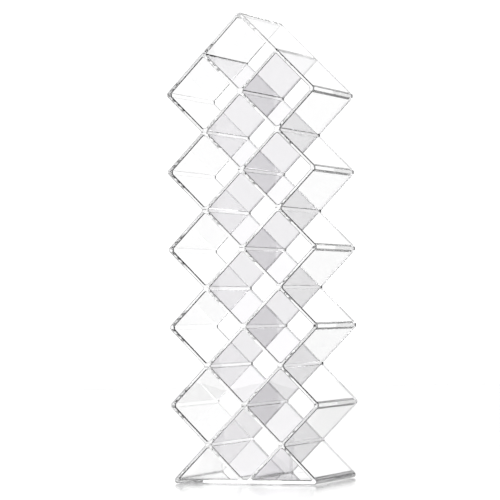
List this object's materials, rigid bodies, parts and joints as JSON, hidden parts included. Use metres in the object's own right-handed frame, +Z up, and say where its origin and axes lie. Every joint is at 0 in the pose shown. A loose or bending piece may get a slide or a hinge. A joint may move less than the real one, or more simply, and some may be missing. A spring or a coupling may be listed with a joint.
{
  "type": "lipstick organizer",
  "caption": "Clear acrylic tower of diamond-shaped cells, open at front and back, that stands on a flat base and holds lipsticks lying on their sides.",
  "frame": {"origin": "centre of the base plate's underside", "axes": "+Z up along the tower, -Y out of the front, +X to the right as seen from the front"},
  "size_m": [0.0786, 0.057, 0.2338],
  "materials": {
    "clear_acrylic": "clear, flame-polished acrylic with glossy faces and edges"
  },
  "bodies": {
    "root": {"base_plate": "clear_acrylic", "rising_strip_1": "clear_acrylic", "rising_strip_2": "clear_acrylic", "rising_strip_3": "clear_acrylic", "rising_strip_4": "clear_acrylic", "rising_strip_5": "clear_acrylic", "rising_strip_6": "clear_acrylic", "rising_strip_7": "clear_acrylic", "falling_strip_1": "clear_acrylic", "falling_strip_2": "clear_acrylic", "falling_strip_3": "clear_acrylic", "falling_strip_4": "clear_acrylic", "falling_strip_5": "clear_acrylic", "falling_strip_6": "clear_acrylic", "falling_strip_7": "clear_acrylic"}
  },
  "joints": []
}
